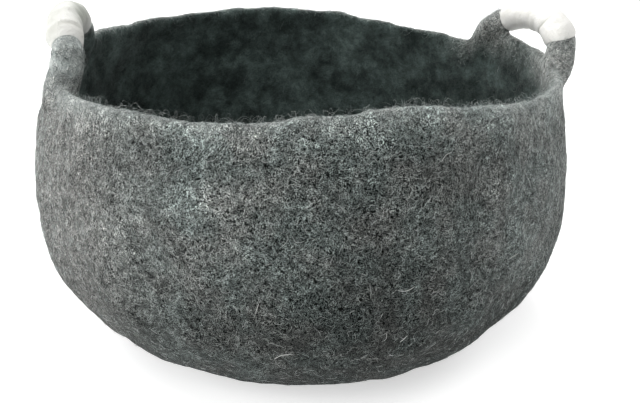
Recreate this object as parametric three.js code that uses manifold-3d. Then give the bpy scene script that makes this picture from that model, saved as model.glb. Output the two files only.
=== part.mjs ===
// Wet-felted wool cat basket: a thick round bowl that stands on a flat spot, with two ears that rise
// from its rim into hand-hold arches, each arch wrapped in white wool.
// Millimetres, +Z up, origin at the middle of the flat spot, +X towards the right handle, -Y the front.
import * as THREE from 'three'
import { mergeVertices } from 'three/addons/utils/BufferGeometryUtils.js'
import Module from 'manifold-3d'

// ---- driving dimensions ----------------------------------------------------------------------

const BOWL = {
  halfLength: 230, // belly, along X
  halfDepth: 217, // belly, along Y
  bellyHeight: 103, // where the bowl is widest
  flatRadius: 118, // spot that it stands on
  roundness: 1.85, // 2 makes the underside a quarter ellipse, less makes it leaner
  mouthShare: 0.915, // mouth over belly
  wall: 9,
  floor: 9,
}
const RIM = { sideHeight: 221, backRise: 23, frontRise: 10 }

// Places where the hand-made rim and belly stray from the plain oval, each fading out over its spread.
const UNEVEN = [
  { deg: 151, rise: 8, swell: 0, spread: 15 }, // rim stands up behind the left handle
  { deg: 190, rise: 0, swell: -3, spread: 24 }, // flatter beside the left handle
  { deg: 238, rise: -3, swell: 0, spread: 14 }, // dip left of the front
  { deg: 271, rise: 7, swell: 3, spread: 14 }, // rise right of the front
  { deg: 313, rise: -1, swell: -2.5, spread: 14 }, // flatter right front
]

// Each ear is a stretch of wall that rises and leans, between two legs of its arch.
// The rows run from the back root, inside the wall, over the top, to the front root:
// along is measured towards the back, out from the middle of the rim, radius is the tube's own.
const HANDLES = [
  {
    name: 'right', deg: 4, backward: 1,
    ear: { rise: 12, tilt: 5, lean: 14, flat: 46, reach: 76, leanReach: 150, from: 160 },
    arch: [
      { along: 60, out: 10, height: 188, radius: 4 },
      { along: 59, out: 11, height: 212, radius: 10 },
      { along: 53, out: 14, height: 236, radius: 14 },
      { along: 36, out: 17, height: 250, radius: 10.5 },
      { along: 6, out: 20, height: 256.5, radius: 9.5 },
      { along: -26, out: 21, height: 254, radius: 10.5 },
      { along: -48, out: 21, height: 241, radius: 12 },
      { along: -56, out: 18, height: 224, radius: 14 },
      { along: -59, out: 13, height: 204, radius: 10.5 },
      { along: -60, out: 12, height: 182, radius: 4 },
    ],
    wrap: { from: 0.34, to: 0.655, slant: 0.02, slantDeg: 165, tail: 0 },
  },
  {
    name: 'left', deg: 172, backward: -1,
    ear: { rise: 8, tilt: 2, lean: -6, flat: 46, reach: 86, leanReach: 100, from: 175 },
    arch: [
      { along: 60, out: 9, height: 188, radius: 4 },
      { along: 59, out: 4, height: 212, radius: 9 },
      { along: 52, out: -4, height: 234, radius: 12 },
      { along: 34, out: -8, height: 250, radius: 9.5 },
      { along: 4, out: -10, height: 258, radius: 10 },
      { along: -26, out: -10, height: 256, radius: 10 },
      { along: -46, out: -10, height: 245, radius: 11.3 },
      { along: -53, out: -6.5, height: 227, radius: 13 },
      { along: -55, out: 0.5, height: 206, radius: 12.5 },
      { along: -56, out: 9, height: 180, radius: 4 },
    ],
    wrap: { from: 0.32, to: 0.67, slant: 0.012, slantDeg: 60, tail: 2.5 },
  },
]
const WRAP = { gap: 0.5, thickness: 2.5 }
// The tucked end of the left wrap: a soft lump at `place` along it, on its outer side.
const TAIL = { place: 0.84, length: 0.07, deg: 35 }

// Facets of each surface.
const STEPS = { around: 60, under: 9, side: 8, rim: 4, arch: 38, tube: 14, wrap: 16, wrapEnd: 3 }

const GREY_FELT = new THREE.MeshStandardMaterial({ color: 0x59605d, roughness: 0.97, metalness: 0 })
const WHITE_WOOL = new THREE.MeshStandardMaterial({ color: 0xebe9e2, roughness: 0.93, metalness: 0 })

// ---- small helpers ---------------------------------------------------------------------------

const radians = THREE.MathUtils.degToRad
const degrees = THREE.MathUtils.radToDeg
const mix = THREE.MathUtils.lerp

// 1 in the middle, fading to nothing like a bell as `distance` passes `spread`.
const bell = (distance, spread) => Math.exp(-0.5 * (distance / spread) ** 2)

// Signed angle from `b` to `a` in degrees, the short way round.
const turn = (a, b) => ((a - b + 540) % 360) - 180

// Evenly spaced numbers from `first` to `last`, `count` steps apart.
const spaced = (first, last, count) =>
  Array.from({ length: count + 1 }, (_, i) => mix(first, last, i / count))

// Stitches a grid of points into triangles: rings[i][j], each ring closed on itself.
// With `loop` the last ring joins the first, otherwise a fan closes each end at its middle.
function stitchRings(rings, loop = false) {
  const sides = rings[0].length
  const positions = rings.flat().flatMap((p) => p.toArray())
  const faces = []
  const last = loop ? rings.length : rings.length - 1
  for (let i = 0; i < last; i++) {
    for (let j = 0; j < sides; j++) {
      const a = i * sides + j
      const b = i * sides + ((j + 1) % sides)
      const c = ((i + 1) % rings.length) * sides + j
      const d = ((i + 1) % rings.length) * sides + ((j + 1) % sides)
      faces.push(a, b, d, a, d, c)
    }
  }
  if (!loop) {
    for (const [ring, start, flip] of [[rings[0], 0, true], [rings.at(-1), (rings.length - 1) * sides, false]]) {
      const middle = ring.reduce((sum, p) => sum.add(p), new THREE.Vector3()).divideScalar(sides)
      const hub = positions.length / 3
      positions.push(...middle.toArray())
      for (let j = 0; j < sides; j++) {
        const a = start + j
        const b = start + ((j + 1) % sides)
        faces.push(...(flip ? [hub, b, a] : [hub, a, b]))
      }
    }
  }
  const geometry = new THREE.BufferGeometry()
  geometry.setAttribute('position', new THREE.Float32BufferAttribute(positions, 3))
  geometry.setIndex(faces)
  return geometry
}

// ---- bowl wall -------------------------------------------------------------------------------

// Distance along the rim from the middle of a handle, positive towards the back.
const alongRim = (handle, deg) =>
  radians(turn(deg, handle.deg)) * handle.backward * BOWL.halfLength * BOWL.mouthShare

// How far an ear affects the wall at `deg`: 1 between its arch's legs, fading to 0 at `reach`.
const earShare = (handle, deg, reach) =>
  1 - THREE.MathUtils.smoothstep(Math.abs(alongRim(handle, deg)), handle.ear.flat, reach)

// Rise of an ear's crest: a little higher towards its back leg.
function earRise(handle, deg) {
  const { rise, tilt, flat, reach } = handle.ear
  return earShare(handle, deg, reach) * (rise + tilt * alongRim(handle, deg) / flat)
}

function rimHeight(deg) {
  const facing = Math.sin(radians(deg))
  const rise = facing > 0 ? RIM.backRise : RIM.frontRise
  const strays = UNEVEN.reduce((sum, u) => sum + u.rise * bell(turn(deg, u.deg), u.spread), 0)
  const ears = HANDLES.reduce((sum, h) => sum + earRise(h, deg), 0)
  return RIM.sideHeight + rise * facing ** 2 + strays + ears
}

function bellyRadius(deg) {
  const oval = Math.hypot(Math.cos(radians(deg)) / BOWL.halfLength, Math.sin(radians(deg)) / BOWL.halfDepth)
  return 1 / oval + UNEVEN.reduce((sum, u) => sum + u.swell * bell(turn(deg, u.deg), u.spread), 0)
}

// Outward lean of the ears at a height on the wall.
function leanOut(deg, height) {
  return HANDLES.reduce((sum, h) => {
    const climb = Math.max(0, height - h.ear.from) / (RIM.sideHeight + h.ear.rise - h.ear.from)
    return sum + h.ear.lean * earShare(h, deg, h.ear.leanReach) * climb ** 2
  }, 0)
}

// Outer face of the wall at `deg`, from the flat spot to just under the rim: points of radius and height.
function outerProfile(deg) {
  const belly = bellyRadius(deg)
  const top = rimHeight(deg) - BOWL.wall / 2
  const power = 2 / BOWL.roundness
  const under = spaced(0, Math.PI / 2, STEPS.under).map((a) => new THREE.Vector2(
    BOWL.flatRadius + (belly - BOWL.flatRadius) * Math.sin(a) ** power,
    BOWL.bellyHeight * (1 - Math.cos(a) ** power),
  ))
  const side = spaced(0, 1, STEPS.side).slice(1).map((s) => {
    const height = mix(BOWL.bellyHeight, top, s)
    return new THREE.Vector2(belly * (1 - (1 - BOWL.mouthShare) * s ** 2) + leanOut(deg, height), height)
  })
  return [...under, ...side]
}

// Inner face: the outer face moved in by the thickness, square to it.
function innerProfile(outer) {
  return outer.map((p, i) => {
    const before = outer[Math.max(i - 1, 0)]
    const after = outer[Math.min(i + 1, outer.length - 1)]
    const slope = new THREE.Vector2().subVectors(after, before).normalize()
    const thick = i === 0 ? BOWL.floor : BOWL.wall
    if (i === 0) slope.set(1, 0)
    return new THREE.Vector2(p.x - slope.y * thick, p.y + slope.x * thick)
  })
}

// Whole section at `deg`: out along the underside, up the wall, over the rounded rim and down inside.
function wallSection(deg) {
  const outer = outerProfile(deg)
  const inner = innerProfile(outer)
  const [a, b] = [outer.at(-1), inner.at(-1)]
  const middle = new THREE.Vector2().addVectors(a, b).multiplyScalar(0.5)
  const arm = new THREE.Vector2().subVectors(a, middle)
  const rim = spaced(0, Math.PI, STEPS.rim).slice(1, -1)
    .map((turned) => arm.clone().rotateAround(new THREE.Vector2(), turned).add(middle))
  return [...outer, ...rim, ...inner.reverse()]
}

function makeWall() {
  const columns = spaced(0, 360, STEPS.around).slice(0, -1)
    .map((deg) => wallSection(deg).map((p) => new THREE.Vector3(
      p.x * Math.cos(radians(deg)), p.x * Math.sin(radians(deg)), p.y,
    )))
  const rings = columns[0].map((_, row) => columns.map((column) => column[row]))
  return stitchRings(rings)
}

// ---- arches and their wraps ------------------------------------------------------------------

const mouthRadius = (deg) => bellyRadius(deg) * BOWL.mouthShare - BOWL.wall / 2

// Centre line of an arch, with the tube's radius interpolated at any share of its length.
function archPath(handle) {
  const outward = new THREE.Vector3(Math.cos(radians(handle.deg)), Math.sin(radians(handle.deg)), 0)
  const back = new THREE.Vector3(-outward.y, outward.x, 0).multiplyScalar(handle.backward)
  const curve = new THREE.CatmullRomCurve3(handle.arch.map((row) => {
    // the legs follow the round of the rim
    const bend = mouthRadius(handle.deg) - Math.sqrt(mouthRadius(handle.deg) ** 2 - row.along ** 2)
    return outward.clone().multiplyScalar(mouthRadius(handle.deg) - bend + row.out)
      .addScaledVector(back, row.along).setZ(row.height)
  }))
  const last = handle.arch.length - 1
  const radiusAt = (t) => {
    const place = Math.min(t * last, last - 1e-6)
    const i = Math.floor(place)
    const ease = THREE.MathUtils.smoothstep(place - i, 0, 1)
    return mix(handle.arch[i].radius, handle.arch[i + 1].radius, ease)
  }
  return { curve, radiusAt, outward }
}

// Point on the tube's skin, or `lift` off it, at share t of the path and `turned` about it.
function skinPoint(path, t, turned, lift = 0) {
  const centre = path.curve.getPoint(t)
  const tangent = path.curve.getTangent(t)
  const aside = path.outward.clone().addScaledVector(tangent, -tangent.dot(path.outward)).normalize()
  const up = new THREE.Vector3().crossVectors(tangent, aside)
  const reach = path.radiusAt(t) + lift
  return centre.addScaledVector(aside, reach * Math.cos(turned)).addScaledVector(up, reach * Math.sin(turned))
}

function makeArch(path) {
  const turns = spaced(0, 2 * Math.PI, STEPS.tube).slice(0, -1)
  return stitchRings(spaced(0, 1, STEPS.arch).map((t) => turns.map((turned) => skinPoint(path, t, turned))))
}

// Sleeve with rounded ends: a thin closed section in share-of-path and lift, carried round the tube.
function makeWrap(path, wrap) {
  const length = path.curve.getLength() * (wrap.to - wrap.from)
  const round = WRAP.thickness / length
  const section = [
    ...spaced(round, 1 - round, STEPS.wrap).map((s) => [s, 1]),
    ...spaced(Math.PI / 2, -Math.PI / 2, STEPS.wrapEnd).slice(1, -1)
      .map((a) => [1 - round + round * Math.cos(a), 0.5 + 0.5 * Math.sin(a)]),
    ...spaced(1 - round, round, STEPS.wrap).map((s) => [s, 0]),
    ...spaced(-Math.PI / 2, -1.5 * Math.PI, STEPS.wrapEnd).slice(1, -1)
      .map((a) => [round + round * Math.cos(a), 0.5 + 0.5 * Math.sin(a)]),
  ]
  const turns = spaced(0, 2 * Math.PI, STEPS.tube).slice(0, -1)
  const rings = section.map(([s, lift]) => turns.map((turned) => {
    const to = wrap.to + wrap.slant * Math.cos(turned - radians(wrap.slantDeg))
    const tail = lift * wrap.tail * bell(s - TAIL.place, TAIL.length) * bell(turn(degrees(turned), 0), TAIL.deg)
    return skinPoint(path, mix(wrap.from, to, s), turned, WRAP.gap + lift * WRAP.thickness + tail)
  }))
  return stitchRings(rings, true)
}

// ---- joining ---------------------------------------------------------------------------------

const wasm = await Module()
wasm.setup()

function toSolid(geometry) {
  const merged = mergeVertices(geometry, 1e-5)
  return new wasm.Manifold(new wasm.Mesh({
    numProp: 3,
    vertProperties: new Float32Array(merged.attributes.position.array),
    triVerts: new Uint32Array(merged.index.array),
  }))
}

function toGeometry(solid) {
  const mesh = solid.getMesh()
  const geometry = new THREE.BufferGeometry()
  geometry.setAttribute('position', new THREE.BufferAttribute(mesh.vertProperties, 3))
  geometry.setIndex(new THREE.BufferAttribute(mesh.triVerts, 1))
  geometry.computeVertexNormals()
  return geometry
}

function makeMesh(name, geometry, material) {
  const mesh = new THREE.Mesh(geometry, material)
  mesh.name = name
  return mesh
}

// ---- the basket ------------------------------------------------------------------------------

const basket = new THREE.Group()
const paths = HANDLES.map(archPath)
const felt = paths.reduce((solid, path) => solid.add(toSolid(makeArch(path))), toSolid(makeWall()))
basket.add(makeMesh('bowl', toGeometry(felt), GREY_FELT))
HANDLES.forEach((handle, i) => {
  basket.add(makeMesh(`wrap_${handle.name}`, toGeometry(toSolid(makeWrap(paths[i], handle.wrap))), WHITE_WOOL))
})

export default basket
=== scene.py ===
"""Looks of a wet-felted wool cat basket: a grey marl bowl with two arched hand-holds wrapped in white wool.

Metres, +Z up, origin at the middle of the flat spot, +X towards the right handle, -Y the front.
Angles round the bowl run from +X towards the back.
"""

from __future__ import annotations

import logging
from dataclasses import dataclass, field
from enum import Enum

import bpy
import numpy as np
from mathutils import Matrix, Vector

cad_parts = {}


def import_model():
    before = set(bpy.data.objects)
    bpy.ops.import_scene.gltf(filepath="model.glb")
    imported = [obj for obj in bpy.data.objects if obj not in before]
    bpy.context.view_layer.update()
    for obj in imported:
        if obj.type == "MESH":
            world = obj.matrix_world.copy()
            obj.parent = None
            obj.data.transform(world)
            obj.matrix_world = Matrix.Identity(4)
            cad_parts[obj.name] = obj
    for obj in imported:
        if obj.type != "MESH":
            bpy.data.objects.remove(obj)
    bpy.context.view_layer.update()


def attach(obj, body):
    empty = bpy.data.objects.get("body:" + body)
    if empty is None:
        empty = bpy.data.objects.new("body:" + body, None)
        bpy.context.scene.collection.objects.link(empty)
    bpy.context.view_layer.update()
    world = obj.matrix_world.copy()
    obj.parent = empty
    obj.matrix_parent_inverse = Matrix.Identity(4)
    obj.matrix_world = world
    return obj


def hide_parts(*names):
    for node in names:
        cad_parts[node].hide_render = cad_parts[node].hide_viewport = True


log = logging.getLogger("basket")
Array = np.ndarray
Material = bpy.types.Material
Mesh = bpy.types.Mesh
Socket = bpy.types.NodeSocket
Thing = bpy.types.Object
Triple = tuple[float, float, float]
Colour = tuple[float, float, float, float]
MM = 0.001


# ---- small helpers ----


def bell(distance: Array | float, spread: float) -> Array:
    """1 in the middle, fading like a bell: the exponential of minus half the squared distance over spread."""
    return np.exp(-0.5 * (np.asarray(distance) / spread) ** 2)


def turn(deg: Array | float, middle: float) -> Array:
    """Signed angle in degrees from `middle` to `deg`, the short way round."""
    return (np.asarray(deg) - middle + 540.0) % 360.0 - 180.0


def around(deg: Array | float, middle: float, spread: float) -> Array:
    """A bell of the angle between `deg` and `middle`."""
    return bell(turn(deg, middle), spread)


def full_turn(columns: int) -> Array:
    """That many even angles once round, as a row."""
    return np.linspace(0.0, 2.0 * np.pi, columns + 1)[None, :-1]


def mix(first: Array | float, last: Array | float, share: Array | float) -> Array:
    """Straight blend: the first value plus the share of the way to the last."""
    return first + (last - first) * share


def ease(value: Array | float, low: float, high: float) -> Array:
    """0 below `low`, 1 above `high`, and the cubic 3t^2 - 2t^3 between them."""
    share = np.clip((np.asarray(value, float) - low) / (high - low), 0.0, 1.0)
    return share * share * (3.0 - 2.0 * share)


def window(value: Array | float, low: float, full: float, fading: float, gone: float) -> Array:
    """0 up to `low`, 1 from `full` to `fading`, 0 again from `gone`, eased between them."""
    return ease(value, low, full) * (1.0 - ease(value, fading, gone))


def unit(vectors: Array) -> Array:
    """Each vector over its own length."""
    return vectors / np.maximum(np.linalg.norm(vectors, axis=-1, keepdims=True), 1e-12)


def grid_faces(rows: int, columns: int, loop: bool = False) -> Array:
    """Four-sided faces of a grid of points whose columns close on themselves.

    Args:
        rows: number of rings.
        columns: number of points in each ring.
        loop: whether the last ring joins the first.

    Returns:
        One row of four point numbers for each face.
    """
    i = np.arange(rows if loop else rows - 1)[:, None]
    j = np.arange(columns)[None, :]
    after, beside = (i + 1) % rows, (j + 1) % columns
    corners = (i * columns + j, i * columns + beside, after * columns + beside, after * columns + j)
    return np.stack(corners, -1).reshape(-1, 4)


def make_object(name: str, points: Array, quads: Array, triangles: Array | None = None) -> Thing:
    """Puts points and faces into a new smooth mesh object at the origin.

    Args:
        name: the object's name.
        points: one row of x, y, z for each point.
        quads: four point numbers for each four-sided face.
        triangles: three point numbers for each three-sided face.

    Returns:
        The new object, linked into the scene.
    """
    triangles = np.zeros((0, 3), int) if triangles is None else triangles
    loops = np.concatenate([quads.ravel(), triangles.ravel()]).astype(np.int32)
    starts = np.concatenate([np.arange(len(quads)) * 4, quads.size + np.arange(len(triangles)) * 3])
    mesh = bpy.data.meshes.new(name)
    mesh.vertices.add(len(points))
    mesh.vertices.foreach_set("co", np.asarray(points, np.float32).ravel())
    mesh.loops.add(len(loops))
    mesh.loops.foreach_set("vertex_index", loops)
    mesh.polygons.add(len(starts))
    mesh.polygons.foreach_set("loop_start", starts.astype(np.int32))
    mesh.update(calc_edges=True)
    mesh.polygons.foreach_set("use_smooth", np.ones(len(starts), bool))
    thing = bpy.data.objects.new(name, mesh)
    bpy.context.scene.collection.objects.link(thing)
    return thing


def store(thing: Thing, **values: Array) -> None:
    """Keeps one number for each point of the object under each name.

    Args:
        thing: the object.
        values: one number for each point, by the name that they are kept under.
    """
    for name, value in values.items():
        layer = thing.data.attributes.new(name, "FLOAT", "POINT")
        layer.data.foreach_set("value", np.asarray(value, np.float32).ravel())


def mesh_points(mesh: Mesh) -> Array:
    """All points of a mesh as rows of x, y, z.

    Args:
        mesh: the mesh to read.

    Returns:
        One row for each point.
    """
    flat = np.zeros(len(mesh.vertices) * 3, np.float32)
    mesh.vertices.foreach_get("co", flat)
    return flat.reshape(-1, 3).astype(float)


def mesh_quads(mesh: Mesh) -> Array:
    """All faces of an all-quad mesh as rows of four point numbers.

    Args:
        mesh: the mesh to read, all of whose faces have four sides.

    Returns:
        One row for each face.
    """
    flat = np.zeros(len(mesh.loops), np.int32)
    mesh.loops.foreach_get("vertex_index", flat)
    return flat.reshape(-1, 4)


def finished_mesh(thing: Thing) -> Mesh:
    """A new mesh of the object as its modifiers leave it."""
    evaluated = thing.evaluated_get(bpy.context.evaluated_depsgraph_get())
    return bpy.data.meshes.new_from_object(evaluated)


def point_normals(points: Array, quads: Array) -> Array:
    """Outward direction at each point: the sum of its faces' diagonal cross products, made one long.

    Args:
        points: one row of x, y, z for each point.
        quads: four point numbers for each face.

    Returns:
        One direction for each point.
    """
    a, b, c, d = (points[quads[:, k]] for k in range(4))
    across = np.cross(c - a, d - b)
    total = np.zeros_like(points)
    for axis in range(3):
        weights = np.repeat(across[:, axis], 4)
        total[:, axis] = np.bincount(quads.ravel(), weights, len(points))
    return unit(total)


def relax(points: Array, quads: Array, rounds: int, shares: tuple[float, ...],
          weight: Array | float = 1.0) -> Array:
    """Moves each point towards the middle of its neighbours.

    Args:
        points: the points to move.
        quads: the faces, whose sides say which points are neighbours.
        rounds: how many times the shares are gone through.
        shares: how far a point goes in each step; a negative one swells what the last one shrank.
        weight: 0 to 1 for each point, how much it takes part.

    Returns:
        The moved points.
    """
    ends = np.concatenate([quads[:, [k, (k + 1) % 4]] for k in range(4)])
    count = np.bincount(ends[:, 0], minlength=len(points)).astype(float)[:, None]
    weight = np.broadcast_to(np.asarray(weight, float).reshape(-1, 1), (len(points), 1))
    for share in shares * rounds:
        total = np.stack([np.bincount(ends[:, 0], points[ends[:, 1], k], len(points)) for k in range(3)], 1)
        points = points + share * weight * (total / count - points)
    return points


@dataclass(frozen=True)
class Waves:
    """Hand-made unevenness: many faint cosine waves in random directions, added up."""

    seed: int
    count: int
    shortest: float
    longest: float
    height: float

    def at(self, points: Array) -> Array:
        """Height of the sum at each point: height times the root of 2 over count, times the cosines.

        Args:
            points: one row of coordinates for each point.

        Returns:
            One height for each point.
        """
        rng = np.random.default_rng(self.seed)
        direction = unit(rng.normal(size=(self.count, points.shape[1])))
        length = np.exp(rng.uniform(np.log(self.shortest), np.log(self.longest), self.count))
        phase = rng.uniform(0.0, 2.0 * np.pi, self.count)
        total = np.zeros(len(points))
        for way, start in zip(direction / length[:, None] * 2.0 * np.pi, phase):
            total += np.cos(points @ way + start)
        return total * self.height * np.sqrt(2.0 / self.count)


# ---- node boards for the finishes ----


@dataclass(frozen=True)
class Mottle:
    """Soft noise with `scale` features to the metre, and its low..high mapped to first..last."""

    scale: float
    low: float
    high: float
    first: float
    last: float
    detail: float = 0.0
    rough: float = 0.5


@dataclass
class Board:
    """A material's node tree, with short ways to add and join its nodes."""

    name: str
    material: Material = field(init=False)

    def __post_init__(self) -> None:
        """Makes the material with its shader and its object coordinates."""
        self.material = bpy.data.materials.new(self.name)
        self.material.use_nodes = True
        self.tree = self.material.node_tree
        self.shader = self.tree.nodes["Principled BSDF"]
        self.place = self.add("ShaderNodeTexCoord").outputs["Object"]

    def add(self, kind: str, **settings: object) -> bpy.types.Node:
        """Adds a node and sets its properties.

        Args:
            kind: the type name of the node.
            settings: the properties to set, by name.

        Returns:
            The node.
        """
        node = self.tree.nodes.new(kind)
        for key, value in settings.items():
            setattr(node, key, value)
        return node

    def join(self, value: object, socket: Socket) -> None:
        """Links an output to a socket, or writes a plain value into it.

        Args:
            value: the output or the plain value.
            socket: the input that it goes to.
        """
        if isinstance(value, Socket):
            self.tree.links.new(value, socket)
        else:
            socket.default_value = value

    def math(self, operation: str, first: object, second: object = 0.0) -> Socket:
        """One sum of two numbers, such as ADD, MULTIPLY or MAXIMUM.

        Args:
            operation: what is done with the numbers.
            first: an output or a plain number.
            second: an output or a plain number, left out where one number is enough.

        Returns:
            The result.
        """
        node = self.add("ShaderNodeMath", operation=operation)
        self.join(first, node.inputs[0])
        self.join(second, node.inputs[1])
        return node.outputs[0]

    def vector(self, operation: str, first: object, second: object) -> Socket:
        """One sum of two vectors; the second of SCALE is a number.

        Args:
            operation: what is done with the vectors.
            first: an output or a plain vector.
            second: an output or a plain vector, or the number of SCALE.

        Returns:
            The result.
        """
        node = self.add("ShaderNodeVectorMath", operation=operation)
        self.join(first, node.inputs[0])
        self.join(second, node.inputs["Scale" if operation == "SCALE" else 1])
        return node.outputs[0]

    def times(self, first: object, *others: object) -> Socket:
        """The product of two or more numbers.

        Args:
            first: an output or a plain number.
            others: what it is multiplied with, one after the other.

        Returns:
            The product.
        """
        for other in others:
            first = self.math("MULTIPLY", first, other)
        return first

    def clouds(self, place: object, scale: float, detail: float = 0.0, rough: float = 0.5) -> bpy.types.Node:
        """Soft noise with features of about one over `scale` metres.

        Args:
            place: the coordinates to read it at.
            scale: how many features there are to the metre.
            detail: how many finer layers lie on top.
            rough: how strong each finer layer is beside the one before.

        Returns:
            The noise node, whose first output is its value.
        """
        node = self.add("ShaderNodeTexNoise")
        self.join(place, node.inputs["Vector"])
        node.inputs["Scale"].default_value = scale
        node.inputs["Detail"].default_value = detail
        node.inputs["Roughness"].default_value = rough
        return node

    def spread(self, value: object, low: float, high: float, first: float, last: float) -> Socket:
        """Maps low..high to first..last with soft ends.

        Args:
            value: the number to map.
            low: where the mapping starts.
            high: where it ends.
            first: what `low` and anything under it becomes.
            last: what `high` and anything over it becomes.

        Returns:
            The mapped number.
        """
        node = self.add("ShaderNodeMapRange", interpolation_type="SMOOTHSTEP")
        for socket, number in zip(node.inputs[0:5], (value, low, high, first, last)):
            self.join(number, socket)
        return node.outputs[0]

    def mottle(self, place: object, look: Mottle) -> Socket:
        """The mapped value of that soft noise."""
        noise = self.clouds(place, look.scale, look.detail, look.rough).outputs[0]
        return self.spread(noise, look.low, look.high, look.first, look.last)

    def blend(self, share: object, first: object, last: object) -> Socket:
        """Mixes two colours.

        Args:
            share: 0 for the first colour, 1 for the last.
            first: one colour.
            last: the other colour.

        Returns:
            The mixed colour.
        """
        node = self.add("ShaderNodeMix", data_type="RGBA")
        self.join(share, node.inputs[0])
        self.join(first, node.inputs[6])
        self.join(last, node.inputs[7])
        return node.outputs[2]

    def dim(self, colour: object, share: object) -> Socket:
        """A colour times a number."""
        return self.vector("SCALE", colour, share)

    def shaken(self, place: object, scale: float, reach: float) -> Socket:
        """Coordinates pushed about by soft noise, by up to about `reach` metres."""
        push = self.vector("SUBTRACT", self.clouds(place, scale, 1.0).outputs["Color"], (0.5, 0.5, 0.5))
        return self.vector("ADD", place, self.vector("SCALE", push, reach * 2.0))

    def drawn(self, place: object, way: Triple, share: float) -> Socket:
        """Coordinates squeezed along `way` by `share`, so that what reads them is drawn out that way.

        Args:
            place: the coordinates.
            way: the direction of the drawing out, one long.
            share: how much of the way along it is taken out.

        Returns:
            The squeezed coordinates.
        """
        node = self.add("ShaderNodeVectorMath", operation="DOT_PRODUCT")
        self.join(place, node.inputs[0])
        self.join(way, node.inputs[1])
        back = self.vector("SCALE", way, self.math("MULTIPLY", node.outputs["Value"], share))
        return self.vector("SUBTRACT", place, back)

    def strands(self, place: object, scale: float, shift: float, width: float) -> Socket:
        """Thin curved lines: 1 where soft noise crosses its middle value, fading to 0 at `width` from it.

        Args:
            place: the coordinates to read the lines at.
            scale: how many features the noise has to the metre.
            shift: how far the noise is moved, so that two sets of lines differ.
            width: how far from its middle value a line fades out.

        Returns:
            The share of line at each place.
        """
        moved = self.vector("ADD", place, (shift, -shift, 0.7 * shift))
        off = self.math("ABSOLUTE", self.math("SUBTRACT", self.clouds(moved, scale).outputs[0], 0.5))
        return self.spread(off, 0.0, width, 1.0, 0.0)

    def relief(self, height: object, depth: float) -> None:
        """Gives the shader a bump of that height, `depth` metres for each unit.

        Args:
            height: the height of the bump.
            depth: metres for each unit of height.
        """
        bump = self.add("ShaderNodeBump")
        bump.inputs["Strength"].default_value = 1.0
        bump.inputs["Distance"].default_value = depth
        self.join(height, bump.inputs["Height"])
        self.join(bump.outputs[0], self.shader.inputs["Normal"])

    def attribute(self, name: str) -> Socket:
        """The piece's own stored number of that name."""
        return self.add("ShaderNodeAttribute", attribute_name=name).outputs["Fac"]

    def settle(self, values: dict[str, object]) -> Material:
        """Joins or writes each named input of the shader, and gives the material.

        Args:
            values: outputs or plain values, by the name of the input.

        Returns:
            The material.
        """
        for name, value in values.items():
            self.join(value, self.shader.inputs[name])
        return self.material


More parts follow.
